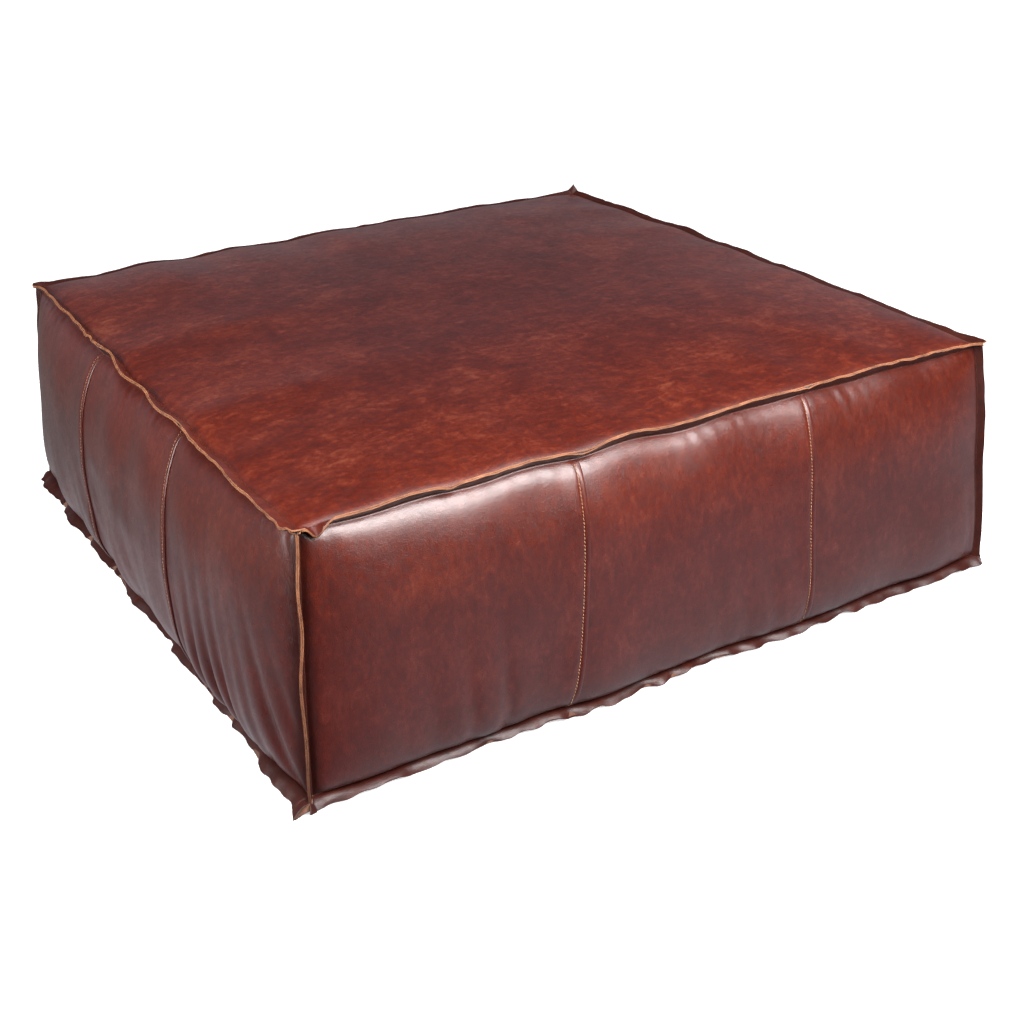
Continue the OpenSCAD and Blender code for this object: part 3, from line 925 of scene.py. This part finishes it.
def stitch_row(line, skin, pitch=0.0041, radius=0.00042, reach=0.80):
    """Stitches along a line, each laid on the skin and dipping into it at both ends."""
    tree = BVHTree.FromObject(skin, bpy.context.evaluated_depsgraph_get())
    pts, n = spaced(line, pitch)
    verts, faces = [], []
    for i in range(n):
        seg = pts[i * PER:(i + 1) * PER + 1]
        run = seg[-1] - seg[0]
        run = run / np.linalg.norm(run)
        first = len(verts)
        for a in SHAPE * reach:
            at = [np.interp(a + 0.5, np.linspace(0, 1, PER + 1), seg[:, c]) for c in range(3)]
            loc, nor = (np.array(v) for v in tree.find_nearest(Vector(at))[:2])
            u = a / (0.5 * reach)
            h = radius * (1.0 - 1.9 * abs(u) ** 3.2)
            side = np.cross(nor, run)
            side /= max(np.linalg.norm(side), 1e-9)
            rr = radius * (1.0 - 0.35 * abs(u) ** 2)
            slant = side * (u * radius * 0.7)
            for q in range(ROUND):
                w = 2 * math.pi * q / ROUND
                verts.append(loc + slant + nor * (h + rr * math.sin(w)) + side * rr * 1.15 * math.cos(w))
        for a in range(len(SHAPE) - 1):
            for q in range(ROUND):
                b, c, after = first + a * ROUND, first + (a + 1) * ROUND, (q + 1) % ROUND
                faces.append((b + q, c + q, c + after, b + after))
        faces.append(tuple(range(first, first + ROUND)))
        faces.append(tuple(reversed(range(len(verts) - ROUND, len(verts)))))
    return verts, faces


def thread(name, node_name, rows, material=THREAD):
    """One piece of sewing made from several rows of stitches."""
    verts, faces = [], []
    for line, skin, settings in rows:
        v, f = stitch_row(line, skin, **settings)
        faces += [tuple(i + len(verts) for i in face) for face in f]
        verts += v
    stands_for(make(name, verts, faces, (material,)), node_name)


def seam_row(flange, k, s, reach, side, seed, skin, scale=TOP_HALF):
    """A row in a seam's crease, on one ply of its flange."""
    r = 0 * s + reach
    return ply(*flange(k, s, r), side, r, seed + k, s * scale), skin, {"radius": 0.00032, "reach": 0.86}


def base_rows(x, y, z):
    """Rows at y on both halves of the base, 3.5 mm a stitch."""
    return [(np.stack([x, 0 * x + sign * y, 0 * x + z], -1), BASES[sign], {"pitch": 0.0035})
            for sign in (-1, 1)]


bpy.context.view_layer.update()
s = np.linspace(-0.995, 0.995, 260)
v = np.linspace(0.03, 0.97, 120)
rows_top, rows_base, rows_corner = [], [], []
for k in range(4):
    for i in range(3):
        part = s[(s >= -1.01 + i * 0.667) & (s <= -1 + (i + 1) * 0.667)]
        rows_top.append(seam_row(top_flange, k, part, 0.08, -1, 200, PANELS[k, i]))
        rows_base.append(seam_row(base_flange, k, part, 0.08, 1, 220, PANELS[k, i]))
    rows_top.append(seam_row(top_flange, k, s, 0.08, 1, 260, top))
    for skin, side in ((PANELS[k, 2], -1), (PANELS[(k + 1) % 4, 0], 1)):
        rows_corner.append(seam_row(corner_flange, k, v, 0.06, side, 240, skin, RISE))
thread("top_seam_stitches", "top_seam_thread", rows_top, SEAM_THREAD)
thread("base_seam_stitches", "base_seam_thread", rows_base, SEAM_THREAD)
thread("corner_seam_stitches", "corner_seam_threads", rows_corner, SEAM_THREAD)
v = np.linspace(0.012, 0.988, 90)
for k in range(4):
    rows = [(side_point(k, seam_share(k, i, v) - LAP_STITCH / TOP_HALF, v) + SIDES[k][1] * 0.0006,
             PANELS[k, i], {}) for i in range(2)]
    thread(f"{SIDE_NAMES[k]}_topstitching", f"{SIDE_NAMES[k]}_topstitch", rows)
thread("zip_sewing", "zip_stitching", base_rows(np.linspace(-0.302, 0.302, 200), 0.011, LIP_Z))
left, right = (base_rows(e * np.linspace(0.323, 0.437, 40), 0.003, 0.008) for e in (-1, 1))
thread("base_middle_sewing", "base_centre_thread", [left[0], right[0], left[1], right[1]])


# ---- filling
ZIP_ROOM = ((-0.6, 0.6), (-0.04, 0.04), (-0.01, 0.0218))      # the room it leaves over the zip


def ring(half, radius, z, lump=0.0, seed=0):
    """A rounded square of points at height z, with seeded swells lump metres high."""
    arcs = []
    for c, (x, y) in enumerate(((1, -1), (1, 1), (-1, 1), (-1, -1))):
        a = np.radians(np.linspace(90 * c - 90, 90 * c, 6))
        arcs.append(np.stack([x * (half - radius) + radius * np.cos(a),
                              y * (half - radius) + radius * np.sin(a)], -1))
    pts = []
    for arc, after in zip(arcs, arcs[1:] + arcs[:1]):
        pts += [arc, np.linspace(arc[-1], after[0], 30)[1:-1]]
    p = np.concatenate(pts)
    if lump:
        t = np.linspace(0, 1, len(p), endpoint=False)
        w = np.round(2 + 6 * np.random.RandomState(seed).uniform(size=5)) * 2
        swells = sum(np.sin(2 * np.pi * (a * t + i * 0.37)) for i, a in enumerate(w)) / 3
        p = p * (1 + lump * swells / half)[:, None]
    return np.column_stack([p, np.full(len(p), z)])


def lofted(name, rows, material, **settings):
    """A mesh object from rings that lie one above another."""
    return from_grid(name, np.array(rows).transpose(1, 0, 2), (material,), closed=True, **settings)


def cushion(name, half, z0, z1, radius, soft, crown, lump, material, seed):
    """A crowned closed slab with rounded edges; its walls swell between the corners."""
    def flat(share, z):
        return ring((half - soft) * share, radius * share, z)

    def rounded(angle, z):
        c, s = math.cos(math.radians(angle)), math.sin(math.radians(angle))
        return ring(half - soft + soft * c, radius, z + soft * s, lump * c, seed)

    rows = [flat(share, z0 + crown * 0.2 * (1 - share)) for share in (0.02, 0.3, 0.6, 0.85)]
    rows += [rounded(a, z0 + soft) for a in (-90, -60, -30, 0)]
    rows.append(ring(half + lump, radius, (z0 + z1) / 2, lump, seed + 1))
    rows += [rounded(a, z1 - soft) for a in (0, 30, 60, 90)]
    rows += [flat(share, z1 + crown * (1 - share)) for share in (0.85, 0.6, 0.3, 0.02)]
    return lofted(name, rows, material, capped=True)


def band(name, half0, half1, z0, z1, radius, count, lump, material):
    """A wall round the filling, from its size at the base to its size at the top."""
    return lofted(name, [ring(half0 + (half1 - half0) * t + 0.003 * math.sin(math.pi * t), radius,
                              z0 + (z1 - z0) * t, lump, 5) for t in np.linspace(0, 1, count)], material)


def cut(ob):
    """Takes the room over the zip out of a closed mesh, with its modifiers applied."""
    bm = bmesh.new()
    bmesh.ops.create_cube(bm, size=1.0)
    for v in bm.verts:
        v.co = [lo + (c + 0.5) * (hi - lo) for c, (lo, hi) in zip(v.co, ZIP_ROOM)]
    me = bpy.data.meshes.new("cutter")
    bm.to_mesh(me)
    bm.free()
    tool = placed("cutter", me)
    mod = ob.modifiers.new("cut", "BOOLEAN")
    mod.object, mod.operation, mod.solver = tool, "DIFFERENCE", "EXACT"
    new = bpy.data.meshes.new_from_object(evaluated(ob))
    ob.modifiers.clear()
    ob.data = new
    bpy.data.objects.remove(tool)


def pad(ob, node_name, slot, fill):
    stands_for(ob, node_name)


for name, seed, half, z0, z1, radius, soft, crown in (
        ("base", 1, 0.437, 0.0030, 0.0972, 0.020, 0.006, 0.0),
        ("middle", 2, 0.4335, 0.0980, 0.1922, 0.020, 0.006, 0.0),
        ("top", 3, 0.4280, 0.1930, 0.2790, 0.022, 0.010, 0.004)):
    ob = cushion(f"foam_{name}", half, z0, z1, radius, soft, crown, 0.0008, FOAM, seed)
    if name == "base":
        cut(ob)
    pad(ob, f"foam_{name}_slab", "foam", 0.95)
pad(cushion("wadding_sheet", 0.4390, 0.2838, 0.2895, 0.030, 0.0025, 0.0100, 0.0, WADDING, 4),
    "wadding_top_sheet", "wadding", 0.6)
wrap = band("wadding_wrap", 0.4640, 0.4440, 0.0060, 0.2800, 0.030, 12, 0.0006, WADDING)
cut(thicken(wrap, 0.0095, flesh=0, rim=0, fine=False))
pad(wrap, "wadding_side_wrap", "wadding", 0.5)

bag_wall = band("bag_wall", 0.4670, 0.4462, 0.0040, 0.2925, 0.022, 14, 0.0004, COTTON)
bag_lid = lofted("bag_lid", [ring(0.4445 * share, 0.022 * share, 0.2935 + 0.0105 * (1 - share ** 3.2))
                             for share in (1.0, 0.97, 0.9, 0.8, 0.6, 0.4, 0.2, 0.02)], COTTON)
# (y, z) points across the bag's floor, up and over the zip
HAT = [(-0.4655, 0.0026), (-0.30, 0.0026), (-0.12, 0.0026), (-0.045, 0.0026), (-0.0395, 0.0028),
       (-0.0388, 0.0045), (-0.0388, 0.0180), (-0.0380, 0.0204), (-0.034, 0.0208), (0.0, 0.0209)]
HAT += [(-y, z) for y, z in HAT[-2::-1]]
HAT = [[(x, y, z) for y, z in HAT] for x in np.linspace(-0.4655, 0.4655, 40)]
bag_floor = from_grid("bag_floor", np.array(HAT), (COTTON,))
for ob, node_name, flat in ((bag_wall, "bag_band", (3.70, 0.30)), (bag_lid, "bag_top_sheet", (0.90, 0.90)),
                            (bag_floor, "bag_base", (0.96, 0.93))):
    thicken(ob, 0.0006, 0, flesh=0, rim=0, fine=False)
    stands_for(ob, node_name)

# ---- stage, light, camera
def paper(name, scale, detail, low, high, **sockets):
    """White paper that glows a little, mottled from low to high."""
    mat, nt = new_material(name)
    tone = ramp(nt, noise(nt, mapped(nt), scale, detail), (0.3, grey(low)), (0.7, grey(high)))
    return wire(mat, Base_Color=tone, Emission_Color=grey(1), **sockets)


FLOOR_PAPER = paper("floor_paper", 0.8, 3, 0.86, 0.90, Roughness=0.7, Specular_IOR_Level=0.2,
                    Emission_Strength=0.52)
corners = [(-30, -30, 0), (30, -30, 0), (30, 30, 0), (-30, 30, 0)]
floor = make("floor", corners, [(0, 1, 2, 3)], (FLOOR_PAPER,))
floor.visible_glossy = floor.visible_diffuse = False
# a plain white wall far off, which lights nothing and shows in no reflection
wall = np.array([[(29 * math.cos(a), 29 * math.sin(a), z) for z in (-0.1, 6, 12, 24)]
                 for a in np.linspace(0, 2 * math.pi, 64, endpoint=False)])
WALL_PAPER = paper("wall_paper", 0.5, 2, 0.02, 0.03, Emission_Strength=1.0)
wall = from_grid("backdrop", wall, (WALL_PAPER,), closed=True)
wall.visible_glossy = wall.visible_diffuse = wall.visible_shadow = wall.visible_transmission = False

scene = bpy.context.scene
scene.view_settings.view_transform = "Standard"
scene.world = bpy.data.worlds.new("studio")
scene.world.use_nodes = True
nt = scene.world.node_tree
direction = node(nt, "TexCoord").outputs["Generated"]
height, depth = (plus(nt, times(nt, apart(nt, direction)[c], 0.5), 0.5) for c in "ZY")
behind = ramp(nt, height, (0.20, (0.55, 0.52, 0.56)), (0.28, (0.44, 0.42, 0.45)), (0.33, grey(0.22)),
              (0.44, grey(0.16)), (0.51, (0.30, 0.29, 0.32)), (0.60, (0.25, 0.25, 0.29)),
              (0.65, (0.105, 0.11, 0.135)), (0.69, (0.036, 0.036, 0.044)), (0.75, grey(0.022)),
              (1.0, grey(0.022)))
ahead = ramp(nt, height, (0.30, (0.66, 0.63, 0.68)), (0.38, (0.38, 0.37, 0.40)),
             (0.45, (0.08, 0.08, 0.09)), (0.52, grey(0.03)), (1.0, grey(0.03)))
sky = mix(nt, ramp(nt, depth, (0.42, grey(0)), (0.62, grey(1))), ahead, behind)
# the dark part of the studio, in front and to the left
toward = node(nt, "VectorMath", {0: direction, 1: (-0.80, -0.60, 0.0)}, operation="DOT_PRODUCT")
dark = ramp(nt, toward.outputs["Value"], (0.30, grey(1)), (0.72, grey(0.16)))
plug(nt, nt.nodes["Background"].inputs["Color"], multiplied(nt, sky, dark))


def softbox(name, place, target, width, height, power, colour=(1, 1, 1)):
    data = bpy.data.lights.new(name, "AREA")
    data.shape, data.size, data.size_y = "RECTANGLE", width, height
    data.energy, data.color = power, colour
    ob = linked(name, data)
    ob.location = place
    ob.rotation_euler = (Vector(target) - Vector(place)).to_track_quat("-Z", "Y").to_euler()


softbox("front_softbox", (0.24, -1.60, 1.40), (0, -0.3, 0.28), 1.20, 1.25, 86, (1, 0.985, 0.98))
softbox("left_softbox", (-2.1, -0.45, 1.05), (-0.45, -0.05, 0.15), 1.6, 1.3, 68)
data = bpy.data.lights.new("ceiling", "SUN")
data.energy, data.angle = 1.85, 0.95
linked("ceiling", data).rotation_euler = (math.radians(14), math.radians(6), 0)

# azimuth, elevation and tilt, then the point looked at and how far away it is
az, el, tilt = (math.radians(a) for a in (-30.56, 26.55, -1.285))
aim, away = Vector((0.0435, -0.0138, 0.0)), 2.0589
back = Vector((math.sin(az) * math.cos(el), -math.cos(az) * math.cos(el), math.sin(el)))
right = Vector((math.cos(az), math.sin(az), 0))
up = back.cross(right)
right, up = right * math.cos(tilt) + up * math.sin(tilt), up * math.cos(tilt) - right * math.sin(tilt)
data = bpy.data.cameras.new("camera")
data.lens, data.sensor_width = 50.84, 36
m = Matrix((right, up, back)).transposed().to_4x4()
m.translation = aim + back * away
scene.camera = linked("camera", data)
scene.camera.matrix_world = m
